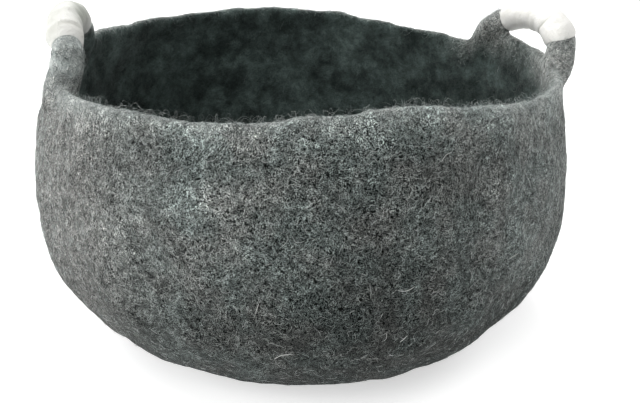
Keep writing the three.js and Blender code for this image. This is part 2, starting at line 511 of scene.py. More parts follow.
@dataclass(frozen=True)
class FeltFinish:
    """Grey marl wool felt: light curled strands over a darker ground, with painted shade in small pits."""

    ground: Colour = (0.003, 0.005, 0.0045, 1.0)
    strand: Colour = (0.545, 0.635, 0.605, 1.0)
    warm_strand: Colour = (0.625, 0.620, 0.590, 1.0)
    soft: Colour = (0.185, 0.205, 0.200, 1.0)
    # The inner colours are darker than the outer ones: partly the smoother inner felt, partly painted shade
    # for the hollow of the bowl.
    inner_ground_and_shade: Colour = (0.046, 0.063, 0.058, 1.0)
    inner_strand_and_shade: Colour = (0.094, 0.121, 0.114, 1.0)
    relief: float = 0.2 * MM
    sheen: float = 0.22
    coming: Mottle = Mottle(230.0, 0.36, 0.60, 0.46, 1.0, 1.0)
    pits: Mottle = Mottle(1500.0, 0.43, 0.52, 1.0, 0.0, 1.0)
    pores: Mottle = Mottle(520.0, 0.34, 0.40, 1.0, 0.0, 1.0)
    clumps: Mottle = Mottle(80.0, 0.32, 0.68, 0.75, 1.25, 2.0, 0.7)
    patches: Mottle = Mottle(24.0, 0.32, 0.68, 0.80, 1.20, 3.0, 0.6)
    clouds: Mottle = Mottle(42.0, 0.36, 0.64, -0.32, 0.32, 2.0, 0.55)
    hues: Mottle = Mottle(36.0, 0.36, 0.64, 0.0, 0.65, 2.0)
    ways: tuple[tuple[Triple, float, float], ...] = (
        ((0.92, 0.25, 0.30), 0.13, 1.0),
        ((0.48, -0.30, 0.82), 0.37, 0.9),
        ((-0.30, 0.35, 0.89), 0.59, 0.8),
        ((-0.80, 0.40, 0.45), 0.83, 0.7),
    )

    def material(self) -> Material:
        """Builds the felt from sets of drawn-out curved lines, pits, patches and the stored inside share.

        Returns:
            The material.
        """
        board = Board("grey_felt")
        inside = board.attribute("inside")
        wide = board.shaken(board.place, 55.0, 0.004)
        fine = board.shaken(wide, 420.0, 0.0004)
        coming = board.mottle(board.place, self.coming)
        curls = board.times(board.strands(fine, 1700.0, 0.77, 0.12), 0.22)
        for way, shift, tone in self.ways:
            lines = board.strands(board.drawn(fine, way, 0.86), 1120.0, shift, 0.054)
            curls = board.math("MAXIMUM", curls, board.times(lines, coming, tone))
        pits = board.math("MAXIMUM", board.mottle(fine, self.pits), board.mottle(wide, self.pores))
        clumps = board.mottle(wide, self.clumps)
        patches = board.mottle(board.place, self.patches)
        cloudy = board.math("ADD", 1.0, board.times(board.mottle(board.place, self.clouds), inside))
        # The stored side share warms the strands, partly as painted pinkish bounce light.
        hue = board.math("MAXIMUM", board.mottle(wide, self.hues), board.attribute("warm"))
        # Inside, the colours carry painted shade for the hollow of the bowl.
        ground = board.blend(inside, self.ground, self.inner_ground_and_shade)
        strand = board.blend(inside, board.blend(hue, self.strand, self.warm_strand), self.inner_strand_and_shade)
        # The stored tone is partly the felt's own fuzziness and patches and partly painted light and shade.
        fuzz = board.attribute("fuzz")
        calmed = board.spread(fuzz, 1.6, 2.4, 0.0, 0.50)
        calm = board.math("SUBTRACT", 1.0, board.times(inside, 0.55))
        # Painted shade: the pits and pores are darkened where the bump sinks, less so inside.
        shade = board.math("SUBTRACT", 1.0, board.times(pits, calm, 0.96))
        colour = board.blend(calmed, board.dim(board.blend(curls, ground, strand), shade), self.soft)
        board.relief(board.times(board.math("SUBTRACT", curls, board.times(pits, 1.2)), calm), self.relief)
        return board.settle({
            "Base Color": board.dim(colour, board.times(patches, clumps, cloudy, fuzz)),
            "Roughness": 0.95,
            "Specular IOR Level": 0.05,
            "Sheen Weight": board.times(fuzz, self.sheen),
            "Sheen Roughness": 0.30,
            "Sheen Tint": (0.95, 1.0, 0.98, 1.0),
        })


@dataclass(frozen=True)
class WoolFinish:
    """Smooth white felted wool, faintly streaked along its windings, with creamier patches and painted shade
    in its creases.
    """

    white: Colour = (0.745, 0.738, 0.712, 1.0)
    cream_and_crease_shade: Colour = (0.640, 0.630, 0.585, 1.0)
    # Painted shade: a dark grey-green that the wool is darkened towards.
    greyed: Colour = (0.20, 0.22, 0.18, 1.0)
    relief: float = 0.25 * MM
    patches: Mottle = Mottle(70.0, 0.35, 0.7, 0.0, 0.55, 2.0)

    def material(self) -> Material:
        """Builds the wool from soft patches, thin strands, and the stored shares of painted crease shade and
        painted grey shade.

        Returns:
            The material.
        """
        board = Board("white_wool")
        wide = board.shaken(board.place, 90.0, 0.003)
        strands = board.strands(wide, 260.0, 0.2, 0.08)
        fine = board.clouds(wide, 900.0, 2.0).outputs[0]
        patches = board.math("ADD", board.mottle(wide, self.patches), board.times(strands, 0.25))
        # The creamier colour serves the wool's own patches and, in the creases, painted shade.
        wool_with_crease_shade = board.blend(board.math("MAXIMUM", patches, board.attribute("crease")), self.white, self.cream_and_crease_shade)
        board.relief(board.math("ADD", board.times(strands, 0.6), fine), self.relief)
        return board.settle({
            # Painted shade: the stored grey share darkens the wool.
            "Base Color": board.blend(board.attribute("greyed"), wool_with_crease_shade, self.greyed),
            "Roughness": 0.85,
            "Specular IOR Level": 0.25,
            "Sheen Weight": 0.15,
            "Sheen Roughness": 0.4,
        })


@dataclass(frozen=True)
class HairFinish:
    """Loose wool hairs, each with its own tone between two colours."""

    name: str
    dark: Colour
    light: Colour
    grain: Mottle = Mottle(700.0, 0.3, 0.7, -0.12, 0.12)

    def material(self) -> Material:
        """Mixes the two colours by the tone stored on each hair, with a slight grain along it.

        Returns:
            The material.
        """
        board = Board(self.name)
        tone = board.math("ADD", board.attribute("tone"), board.mottle(board.place, self.grain))
        return board.settle({
            "Base Color": board.blend(tone, self.dark, self.light),
            "Roughness": 0.75,
            "Specular IOR Level": 0.2,
        })


@dataclass(frozen=True)
class PaperFinish:
    """Matt white studio paper with a barely visible tooth."""

    white: Colour = (0.68, 0.68, 0.68, 1.0)
    glow: float = 0.58
    tooth: Mottle = Mottle(40.0, 0.3, 0.7, 0.995, 1.0, 2.0)

    def material(self) -> Material:
        """Builds the paper from one faint noise, lit a little from below as on a light table.

        Returns:
            The material.
        """
        board = Board("studio_paper")
        return board.settle({
            "Base Color": board.dim(self.white[:3], board.mottle(board.place, self.tooth)),
            "Emission Color": (1.0, 1.0, 1.0, 1.0),
            "Emission Strength": self.glow,
            "Roughness": 1.0,
            "Specular IOR Level": 0.0,
        })


# ---- the bowl's form ----


@dataclass(frozen=True)
class Stray:
    """A place where the rim or the belly strays from the plain oval, fading out over its spread."""

    deg: float
    rise: float
    swell: float
    spread: float


@dataclass(frozen=True)
class Spill:
    """A stretch of rim over which the look of the outer felt spills inwards."""

    deg: float
    share: float
    reach: float
    spread: float

    def at(self, deg: Array, below: Array) -> Array:
        """Share of outer felt at each point, by its angle and how far it lies below the rim."""
        return self.share * around(deg, self.deg, self.spread) * (1.0 - ease(below, 0.0, self.reach))


@dataclass(frozen=True)
class Patch:
    """A darker or paler patch painted on the wall, with soft edges."""

    deg: float
    height: float
    gain: float
    spread: float
    reach: float

    def at(self, deg: Array, height: Array) -> Array:
        """Gain at each point, as a share of the felt's own tone."""
        return self.gain * around(deg, self.deg, self.spread) * bell(height - self.height, self.reach)


@dataclass(frozen=True)
class Ear:
    """A stretch of wall that rises and leans between the two legs of an arch."""

    deg: float
    backward: int
    rise: float
    tilt: float
    lean: float
    flat: float
    reach: float
    lean_reach: float
    start: float


@dataclass(frozen=True)
class Crease:
    """A soft trough pressed into the felt between two places."""

    start: Triple
    end: Triple
    depth: float
    width: float

    def at(self, points: Array) -> Array:
        """Depth at each point: a bell of its distance from the straight line between the two ends.

        Args:
            points: one row of x, y, z for each point.

        Returns:
            One depth for each point.
        """
        first, last = np.array(self.start), np.array(self.end)
        along = np.clip((points - first) @ (last - first) / np.sum((last - first) ** 2), 0.0, 1.0)
        off = np.linalg.norm(points - first - along[:, None] * (last - first), axis=1)
        return self.depth * bell(off, self.width)


@dataclass(frozen=True)
class ArchRow:
    """One place on an arch: along towards the back, out from the middle of the rim, height, tube radius."""

    along: float
    out: float
    height: float
    radius: float


@dataclass
class Wall:
    """The round felt wall with its uneven rim."""

    half_length: float = 0.230
    half_depth: float = 0.217
    belly_height: float = 0.103
    flat_radius: float = 0.118
    roundness: float = 1.85
    mouth_share: float = 0.915
    thickness: float = 0.009
    side_height: float = 0.221
    back_rise: float = 0.023
    front_rise: float = 0.010
    columns: int = 360
    disc_rings: int = 13
    under_rings: int = 34
    side_rings: int = 53
    rim_rings: int = 8
    strays: tuple[Stray, ...] = (
        Stray(151, 0.008, 0.0, 15),
        Stray(190, 0.0, -0.003, 24),
        Stray(238, -0.003, 0.0, 14),
        Stray(271, 0.007, 0.003, 14),
        Stray(313, -0.001, -0.0025, 14),
    )
    ears: tuple[Ear, ...] = (
        Ear(4, 1, 0.012, 0.005, 0.014, 0.046, 0.076, 0.150, 0.160),
        Ear(172, -1, 0.008, 0.002, -0.006, 0.046, 0.086, 0.100, 0.175),
    )
    ripple: Waves = Waves(31, 14, 0.030, 0.090, 0.0005)
    dents: Waves = Waves(32, 18, 0.050, 0.130, 0.0008)

    def along(self, ear: Ear, deg: Array) -> Array:
        """Way along the rim from the middle of the ear, towards the back."""
        return np.radians(turn(deg, ear.deg)) * ear.backward * self.half_length * self.mouth_share

    def ear_share(self, ear: Ear, deg: Array, reach: float) -> Array:
        """1 within the ear's flat half-width along the rim, easing to 0 at `reach` from its middle."""
        return 1.0 - ease(np.abs(self.along(ear, deg)), ear.flat, reach)

    def rim_height(self, deg: Array) -> Array:
        """Side height, plus a rise with the squared sine to back and front, plus strays, ears and ripples.

        Args:
            deg: angles round the bowl.

        Returns:
            The height of the rim at each angle.
        """
        facing = np.sin(np.radians(deg))
        total = self.side_height + np.where(facing > 0, self.back_rise, self.front_rise) * facing**2
        for stray in self.strays:
            total = total + stray.rise * around(deg, stray.deg, stray.spread)
        for ear in self.ears:
            tilted = ear.rise + ear.tilt * self.along(ear, deg) / ear.flat
            total = total + self.ear_share(ear, deg, ear.reach) * tilted
        ring = np.stack([np.cos(np.radians(deg)), np.sin(np.radians(deg))], -1) * self.half_length
        return total + self.ripple.at(ring)

    def belly_radius(self, deg: Array) -> Array:
        """Radius of an ellipse of the two half-sizes, plus the strays' swells.

        Args:
            deg: angles round the bowl.

        Returns:
            The radius of the belly at each angle.
        """
        oval = np.hypot(np.cos(np.radians(deg)) / self.half_length, np.sin(np.radians(deg)) / self.half_depth)
        swell = sum(stray.swell * around(deg, stray.deg, stray.spread) for stray in self.strays)
        return 1.0 / oval + swell

    def lean_out(self, deg: Array, height: Array) -> Array:
        """How far the ears carry the wall outwards: their lean times the squared share of the climb.

        Args:
            deg: angles round the bowl.
            height: heights above the floor.

        Returns:
            How far the wall moves out at each angle and height.
        """
        total = np.zeros(np.broadcast(deg, height).shape)
        for ear in self.ears:
            climb = np.maximum(0.0, height - ear.start) / (self.side_height + ear.rise - ear.start)
            total = total + ear.lean * self.ear_share(ear, deg, ear.lean_reach) * climb**2
        return total

    def outer_profile(self, deg: Array) -> tuple[Array, Array]:
        """Radius and height of the outer face, rows from the flat spot to just under the rim.

        The underside is a superellipse quarter; the side draws in with the square of its share of height.

        Args:
            deg: angles round the bowl.

        Returns:
            The radii and the heights, one column for each angle.
        """
        belly, power = self.belly_radius(deg), 2.0 / self.roundness
        turned = np.linspace(0.0, np.pi / 2.0, self.under_rings)[:, None]
        under_r = self.flat_radius + (belly - self.flat_radius) * np.sin(turned) ** power
        under_z = self.belly_height * (1.0 - np.cos(turned).clip(0.0) ** power) + 0.0 * deg
        share = np.linspace(0.0, 1.0, self.side_rings + 1)[1:, None]
        side_z = mix(self.belly_height, self.rim_height(deg) - self.thickness / 2.0, share)
        side_r = belly * (1.0 - (1.0 - self.mouth_share) * share**2) + self.lean_out(deg[None, :], side_z)
        return np.concatenate([under_r, side_r]), np.concatenate([under_z, side_z])

    def points(self) -> tuple[Array, int, int]:
        """Rings of the closed wall: middle of the underside, outer face, half-round rim, inner face, floor.

        Returns:
            The points, the number of rings and the number of points in each.
        """
        deg = np.linspace(0.0, 360.0, self.columns + 1)[:-1]
        radius, height = self.outer_profile(deg)
        slope_r, slope_z = np.gradient(radius, axis=0), np.gradient(height, axis=0)
        slope_r[0], slope_z[0] = 1.0, 0.0
        length = np.hypot(slope_r, slope_z)
        inner_r = radius - slope_z / length * self.thickness
        inner_z = height + slope_r / length * self.thickness
        over = np.linspace(0.0, np.pi, self.rim_rings + 2)[1:-1, None]
        middle_r, middle_z = (radius[-1] + inner_r[-1]) / 2.0, (height[-1] + inner_z[-1]) / 2.0
        arm_r, arm_z = radius[-1] - middle_r, height[-1] - middle_z
        rim_r = middle_r + arm_r * np.cos(over) - arm_z * np.sin(over)
        rim_z = middle_z + arm_z * np.cos(over) + arm_r * np.sin(over)
        disc = np.linspace(0.0, self.flat_radius, self.disc_rings + 1)[:-1, None] + 0.0 * deg
        all_r = np.concatenate([disc, radius, rim_r, inner_r[::-1], disc[::-1]])
        all_z = np.concatenate([0.0 * disc, height, rim_z, inner_z[::-1], 0.0 * disc + self.thickness])
        cos, sin = np.cos(np.radians(deg)), np.sin(np.radians(deg))
        points = np.stack([all_r * cos, all_r * sin, all_z], -1).reshape(-1, 3)
        hung = ease(points[:, 2], 0.012, 0.060)
        away = unit(points * (1.0, 1.0, 0.0) + (1e-9, 0.0, 0.0))
        return points + away * (self.dents.at(points) * hung)[:, None], len(all_r), len(deg)


@dataclass
class Arch:
    """A felt tube that grows out of the rim, over a hand's width and back into the rim.

    `pale` is what the arch adds to the felt's own tone: fuzzier felt on both arches, and on the left one also
    painted light from the left.
    """

    deg: float
    backward: int
    rows: tuple[ArchRow, ...]
    wall: Wall
    pale: float
    roots: tuple[tuple[float, float], ...] = ((0.17, 0.016), (0.80, 0.018), (0.87, 0.018))
    steps: int = 260
    rings: int = 150
    columns: int = 40

    def __post_init__(self) -> None:
        """Works out the centre line, its directions and the tube's radius at even shares of its rows.

        The centre line is a centripetal Catmull-Rom curve through the rows, whose knots are the square roots
        of the distances; the radius eases from row to row.
        """
        turned = np.radians(self.deg)
        self.outward = np.array([np.cos(turned), np.sin(turned), 0.0])
        back = np.array([-np.sin(turned), np.cos(turned), 0.0]) * self.backward
        wall = self.wall
        mouth = float(wall.belly_radius(np.array(self.deg)) * wall.mouth_share - wall.thickness / 2)
        table = np.array([(row.along, row.out, row.height, row.radius) for row in self.rows])
        along, out, height, radius = table.T
        bend = mouth - np.sqrt(mouth**2 - along**2)
        knots = (mouth - bend + out)[:, None] * self.outward + along[:, None] * back
        knots[:, 2] = height
        knots = np.vstack([2 * knots[0] - knots[1], knots, 2 * knots[-1] - knots[-2]])
        self.share = np.linspace(0.0, 1.0, self.steps)
        place = self.share * (len(along) - 1)
        first = np.minimum(place.astype(int), len(along) - 2)
        within = (place - first)[:, None]
        a, b, c, d = (knots[first + k] for k in range(4))
        ab, bc, cd = (np.sqrt(np.linalg.norm(q - p, axis=1))[:, None] for p, q in ((a, b), (b, c), (c, d)))
        leave = ((b - a) / ab - (c - a) / (ab + bc) + (c - b) / bc) * bc
        arrive = ((c - b) / bc - (d - b) / (bc + cd) + (d - c) / cd) * bc
        bends = (3 * (c - b) - 2 * leave - arrive) * within**2 + (2 * (b - c) + leave + arrive) * within**3
        self.centre = b + leave * within + bends
        self.ahead = unit(np.gradient(self.centre, axis=0))
        self.aside = unit(self.outward - self.ahead * (self.ahead @ self.outward)[:, None])
        self.above = np.cross(self.ahead, self.aside)
        self.radius = mix(radius[first], radius[first + 1], ease(place - first, 0.0, 1.0))

    def skin(self, share: Array, turned: Array, lift: Array | float) -> Array:
        """Points `lift` off the tube: the centre, plus radius and lift along aside and above by the turn.

        Args:
            share: shares of the centre line.
            turned: angles round the tube, from `aside` towards `above`.
            lift: how far the points stand off the tube.

        Returns:
            The points.
        """
        columns = (*self.centre.T, *self.aside.T, *self.above.T)
        looked = [np.interp(share, self.share, column) for column in columns]
        centre, aside, above = (np.stack(looked[k : k + 3], -1) for k in (0, 3, 6))
        reach = (np.interp(share, self.share, self.radius) + lift)[..., None]
        return centre + reach * (aside * np.cos(turned)[..., None] + above * np.sin(turned)[..., None])

    def points(self, slimmed: float, start: float, end: float) -> tuple[Array, int, int]:
        """Rings of the tube, closed to a point at each end, slimmed where the wrap covers it.

        Args:
            slimmed: how much thinner the tube is under the wrap.
            start: the share at which the wrap surely covers it.
            end: the share at which that ends.

        Returns:
            The points, the number of rings and the number of points in each.
        """
        share = np.linspace(0.0, 1.0, self.rings)[:, None]
        turned = full_turn(self.columns)
        covered = window(share, start, start + 0.02, end - 0.02, end)
        rings = self.skin(share + 0 * turned, turned + 0 * share, -slimmed * covered + 0 * turned)
        rings[0], rings[-1] = rings[0].mean(0), rings[-1].mean(0)
        return rings.reshape(-1, 3), self.rings, self.columns

    def distance(self, points: Array) -> tuple[Array, Array]:
        """Distance of each point to the centre line, and the share of the line that it is nearest to.

        Args:
            points: one row of x, y, z for each point.

        Returns:
            The distances and the shares.
        """
        line, shares = self.centre[::3], self.share[::3]
        off = np.linalg.norm(points[:, None, :] - line[None, :, :], axis=2)
        return off.min(1), shares[off.argmin(1)]


@dataclass
class Bowl:
    """The seamless felt bowl: wall and arches grown together, uneven all over, with soft creases."""

    wall: Wall
    arches: tuple[Arch, ...]
    covers: tuple[tuple[float, float], ...]
    finish: FeltFinish
    voxel: float = 3.1 * MM
    slimmed: float = 0.4 * MM
    low_painted_shade: float = 0.34
    # The rim top is paler: partly fuzzier felt, partly a painted highlight where light falls from above.
    rim_fuzz_and_highlight: float = 0.92
    low_hairs: float = 0.04
    middle: Triple = (0.0, 0.0, 0.165)
    smoothing: tuple[float, float] = (0.5, -0.53)
    arches_from: float = 0.18
    tube_edge: tuple[float, float] = (0.001, 0.005)
    rim_edge: tuple[float, float] = (-0.004, 0.008)
    rim_fuzz: tuple[float, float] = (0.002, 0.030)
    stand_edge: tuple[float, float] = (0.002, 0.014)
    inner_edge: tuple[float, float] = (-0.55, 0.10)
    painted_shade_climb: tuple[float, float] = (-0.01, 0.17)
    hair_climb: tuple[float, float] = (-0.01, 0.13)
    warm_sides: tuple[float, float] = (0.12, 0.20)
    lumps: Waves = Waves(41, 70, 0.010, 0.024, 0.00020)
    swells: Waves = Waves(42, 40, 0.030, 0.080, 0.0005)
    spills: tuple[Spill, ...] = (
        Spill(-13, 0.95, 0.040, 8),
        Spill(16, 0.70, 0.034, 7),
        Spill(196, 0.9, 0.036, 12),
    )
    patches: tuple[Patch, ...] = (
        # Painted light: this first patch pales the far left side, where light from the left falls; the others
        # are the felt's own uneven tone.
        Patch(-165, 0.130, 0.32, 16, 0.100),
        Patch(-152, 0.122, 0.22, 9, 0.022),
        Patch(-136, 0.207, -0.34, 8, 0.009),
        Patch(-132, 0.175, 0.50, 6, 0.013),
        Patch(-124, 0.186, 0.35, 5, 0.009),
        Patch(-131, 0.134, 0.32, 9, 0.013),
        Patch(-119, 0.141, 0.20, 4, 0.008),
        Patch(-124, 0.050, 0.30, 10, 0.010),
        Patch(-105, 0.200, 0.24, 5, 0.010),
        Patch(-106, 0.096, -0.18, 6, 0.010),
        Patch(-98, 0.112, -0.34, 16, 0.038),
        Patch(-91, 0.128, -0.18, 5, 0.012),
        Patch(-87, 0.190, -0.22, 6, 0.014),
        Patch(-70, 0.185, 0.26, 3, 0.006),
        Patch(-70, 0.120, 0.16, 4, 0.012),
        Patch(-57, 0.132, 0.36, 8, 0.026),
        Patch(-58, 0.066, -0.30, 9, 0.016),
    )
    inner_painted_shading: tuple[Patch, ...] = (
        # Painted shade darkens the inner right wall, and painted light lifts the inner back wall.
        Patch(12, 0.155, -0.40, 22, 0.034),
        Patch(110, 0.170, 0.14, 45, 0.080),
    )
    creases: tuple[Crease, ...] = (
        Crease((0.2090, 0.0405, 0.222), (0.2080, 0.0470, 0.192), 0.0016, 0.0030),
        Crease((-0.1745, 0.1070, 0.206), (-0.1710, 0.1170, 0.184), 0.0014, 0.0030),
        Crease((0.150, 0.145, 0.150), (0.120, 0.172, 0.120), 0.0008, 0.0070),
        Crease((-0.090, -0.205, 0.060), (-0.040, -0.213, 0.068), 0.0006, 0.0080),
    )

    def joined(self) -> Thing:
        """Puts wall and tubes into one rough mesh, whose closed forms still cross each other.

        Returns:
            The rough object.
        """
        blocks = [self.wall.points()]
        blocks += [arch.points(self.slimmed, *cover) for arch, cover in zip(self.arches, self.covers)]
        points, faces, offset = [], [], 0
        for block, rows, columns in blocks:
            points.append(block)
            faces.append(grid_faces(rows, columns) + offset)
            offset += len(block)
        return make_object("rough_bowl", np.concatenate(points), np.concatenate(faces))

    def grown(self) -> tuple[Array, Array]:
        """Melts the rough mesh into one skin of even cells, and smooths it, most at the arches' roots.

        Returns:
            The points and the four-sided faces.
        """
        rough = self.joined()
        melt = rough.modifiers.new("melt", "REMESH")
        melt.mode, melt.voxel_size, melt.adaptivity = "VOXEL", self.voxel, 0.0
        mesh = finished_mesh(rough)
        points, quads = mesh_points(mesh), mesh_quads(mesh)
        bpy.data.objects.remove(rough)
        bpy.data.meshes.remove(mesh)
        points = relax(points, quads, 8, self.smoothing)
        near = np.zeros(len(points))
        for arch, (start, end) in zip(self.arches, self.covers):
            for root, spread in arch.roots:
                centre = [np.interp(root, arch.share, column) for column in arch.centre.T]
                near = np.maximum(near, bell(np.linalg.norm(points - centre, axis=1), spread))
            off, share = arch.distance(points)
            under = window(share, start - 0.09, start - 0.05, end + 0.07, end + 0.12)
            near *= 1.0 - under * (1.0 - ease(off, 0.016, 0.024))
        return relax(points, quads, 14, (0.5,), near), quads

    def build(self) -> Thing:
        """Makes the finished bowl, with its share of inner felt stored on each point.

        Each point moves along its own direction by the lumps and swells, less the creases, except where it
        stands or where a wrap covers it.

        Returns:
            The felt bowl.
        """
        points, quads = self.grown()
        outward = point_normals(points, quads)
        free, tube, hairy, pale = (np.full(len(points), value) for value in (1.0, 0.0, 1.0, 0.0))
        high = points[:, 2] > self.arches_from
        for arch, (start, end) in zip(self.arches, self.covers):
            off, share = arch.distance(points[high])
            radius = np.interp(share, arch.share, arch.radius)
            on_tube = 1.0 - ease(off - radius, *self.tube_edge)
            covered = window(share, start - 0.01, start + 0.01, end - 0.01, end + 0.01)
            deg = np.degrees(np.arctan2(points[high, 1], points[high, 0]))
            over_rim = ease(points[high, 2] - self.wall.rim_height(deg), *self.rim_edge)
            tube[high] = np.maximum(tube[high], on_tube * over_rim)
            pale[high] = np.maximum(pale[high], arch.pale * on_tube * over_rim)
            free[high] *= 1.0 - on_tube * covered
            bald = window(share, start - 0.035, start - 0.02, end + 0.045, end + 0.06)
            hairy[high] *= 1.0 - ease(14.0 * MM - (off - radius), 0.0, 8.0 * MM) * bald * over_rim
        standing = ease(points[:, 2], *self.stand_edge)
        free = free * np.where(outward[:, 2] < 0, standing, 1.0)
        move = (self.lumps.at(points) + self.swells.at(points)) * free
        for crease in self.creases:
            move -= crease.at(points)
        points = points + outward * move[:, None]
        thing = make_object("felt_bowl", points, quads)
        facing = np.sum(outward * unit(points - self.middle), axis=1)
        inside = (1.0 - ease(facing, *self.inner_edge)) * (1.0 - tube)
        deg = np.degrees(np.arctan2(points[:, 1], points[:, 0]))
        below = self.wall.rim_height(deg) - points[:, 2]
        for spill in self.spills:
            inside *= 1.0 - spill.at(deg, below)
        outer = 1.0 + sum(patch.at(deg, points[:, 2]) for patch in self.patches)
        inner = 1.0 + sum(patch.at(deg, points[:, 2]) for patch in self.inner_painted_shading)
        # Painted shade: the outer felt darkens towards the bottom.
        outer *= mix(self.low_painted_shade, 1.0, ease(points[:, 2], *self.painted_shade_climb))
        # This tone holds painted light and shade along with the felt's own fuzziness and patches: the darker
        # bottom, the paler rim top, the paler left arch and the far left side.
        fuzz = outer + np.maximum(pale, self.rim_fuzz_and_highlight * (1.0 - ease(below, *self.rim_fuzz)))
        # Warmer tone on both sides: partly the felt's own hue, partly painted pinkish bounce light.
        warm = ease(np.abs(points[:, 0]), *self.warm_sides)
        store(thing, inside=inside, fuzz=mix(fuzz, inner, inside), warm=warm)
        thing.data.materials.append(self.finish.material())
        self.surface, self.outward, self.quads = points, point_normals(points, quads), quads
        self.inside, self.tube = inside, tube
        self.hairy = hairy * fuzz * mix(self.low_hairs, 1.0, ease(points[:, 2], *self.hair_climb))
        return thing


# ---- wraps ----


@dataclass(frozen=True)
class Fold:
    """A soft crease, lump or greyer stretch of a wrap, bent like an arc round the tube.

    Its depth is in metres, or the share of painted grey shade in the middle of a greyer stretch.
    """

    place: float
    slope: float
    deg: float
    spread: float
    depth: float
    width: float

    def at(self, share: Array, turned: Array) -> Array:
        """Depth: a bell of the distance from a sloping line, times a bell of the turn round the tube.

        Args:
            share: shares of the wrap from its back end to its front end.
            turned: angles round the tube.

        Returns:
            The depths.
        """
        round_it = turn(np.degrees(turned), self.deg)
        line = self.place + self.slope * round_it / 100.0
        return self.depth * bell(share - line, self.width) * bell(round_it, self.spread)


@dataclass
class Wrap:
    """A strip of white wool felted round the grip of an arch, with rounded ends and soft windings."""

    side: str
    arch: Arch
    start: float
    end: float
    slant: float
    slant_deg: float
    folds: tuple[Fold, ...]
    lumps: tuple[Fold, ...]
    greyed: tuple[Fold, ...]
    finish: WoolFinish
    gap: float = 0.1 * MM
    thickness: float = 2.9 * MM
    taper: tuple[float, float] = (1.4, 4.0)
    waves: Waves = Waves(51, 24, 0.008, 0.022, 0.00022)
    columns: int = 72
    outer_rings: int = 130
    inner_rings: int = 60
    end_rings: int = 12

    @property
    def cover(self) -> tuple[float, float]:
        """The stretch of the arch that surely lies under the wool."""
        return self.start + 0.01, self.end - 0.03

    def build(self, felt: Thing) -> Thing:
        """Carries a thin closed section with rounded ends round the tube, whose ends lie on the felt itself.

        The outer face lies at gap plus thickness, less the folds, plus the lumps. The back end is a quarter
        round, the front end thins out down to the felt, and the inner face lies close on the felt.

        Args:
            felt: the finished bowl.

        Returns:
            The wrap.
        """
        turned = full_turn(self.columns)
        length = np.linalg.norm(np.diff(self.arch.centre, axis=0), axis=1).sum() * (self.end - self.start)
        bow = np.linspace(0.0, np.pi / 2.0, self.end_rings)
        first, last = (reach * self.thickness / length for reach in self.taper)
        far, near = np.ones(self.outer_rings), np.zeros(self.inner_rings)
        head = np.stack([first * (1.0 - np.cos(bow)), np.sin(bow)], -1)
        outer = np.stack([np.linspace(first, 1.0 - last, len(far)), far], -1)[1:-1]
        tail = np.stack([1.0 - last * (1.0 - np.cos(bow[::-1])), np.sin(bow[::-1]) ** 1.8], -1)
        inner = np.stack([np.linspace(1.0, 0.0, len(near)), near], -1)[1:-1]
        section = np.concatenate([head, outer, tail, inner])
        share, lift = section[:, :1], section[:, 1:]
        end = self.end + self.slant * np.cos(turned - np.radians(self.slant_deg))
        place = mix(self.start, end, share)
        deep = sum(fold.at(share, turned) for fold in self.folds)
        proud = sum(lump.at(share, turned) for lump in self.lumps)
        rings = self.arch.skin(place, turned + 0.0 * share, 0.0 * place)
        uneven = self.waves.at(rings.reshape(-1, 3)).reshape(place.shape)
        height = self.gap + lift * (self.thickness + uneven - deep + proud)
        points = self.arch.skin(place, turned + 0.0 * share, height)
        laid, above = lay_on(felt, rings)
        at_end = ease(np.abs(share - 0.5 + 0.0 * turned), 0.38, 0.46)[..., None]
        points = mix(points, laid + above * height[..., None], at_end).reshape(-1, 3)
        faces = grid_faces(len(section), self.columns, loop=True)
        thing = make_object(f"wool_wrap_{self.side}", points, faces)
        # Painted shade: the crease share darkens the wool to its creamier colour in the sunk folds.
        crease = np.clip(deep / (0.9 * MM), 0.0, 1.0) * lift
        # Painted shade: the grey share darkens the wool on its shaded side and a little on its lit side.
        grey = np.clip(sum((fold.at(share, turned) for fold in self.greyed), 0.0 * crease), 0.0, 1.0)
        store(thing, crease=crease, greyed=grey)
        thing.data.materials.append(self.finish.material())
        return thing


# ---- loose hairs ----


class Zone(Enum):
    """Where a lot of hairs grows."""

    OUTSIDE = "outside"
    RIM = "rim"
    INSIDE = "inside"


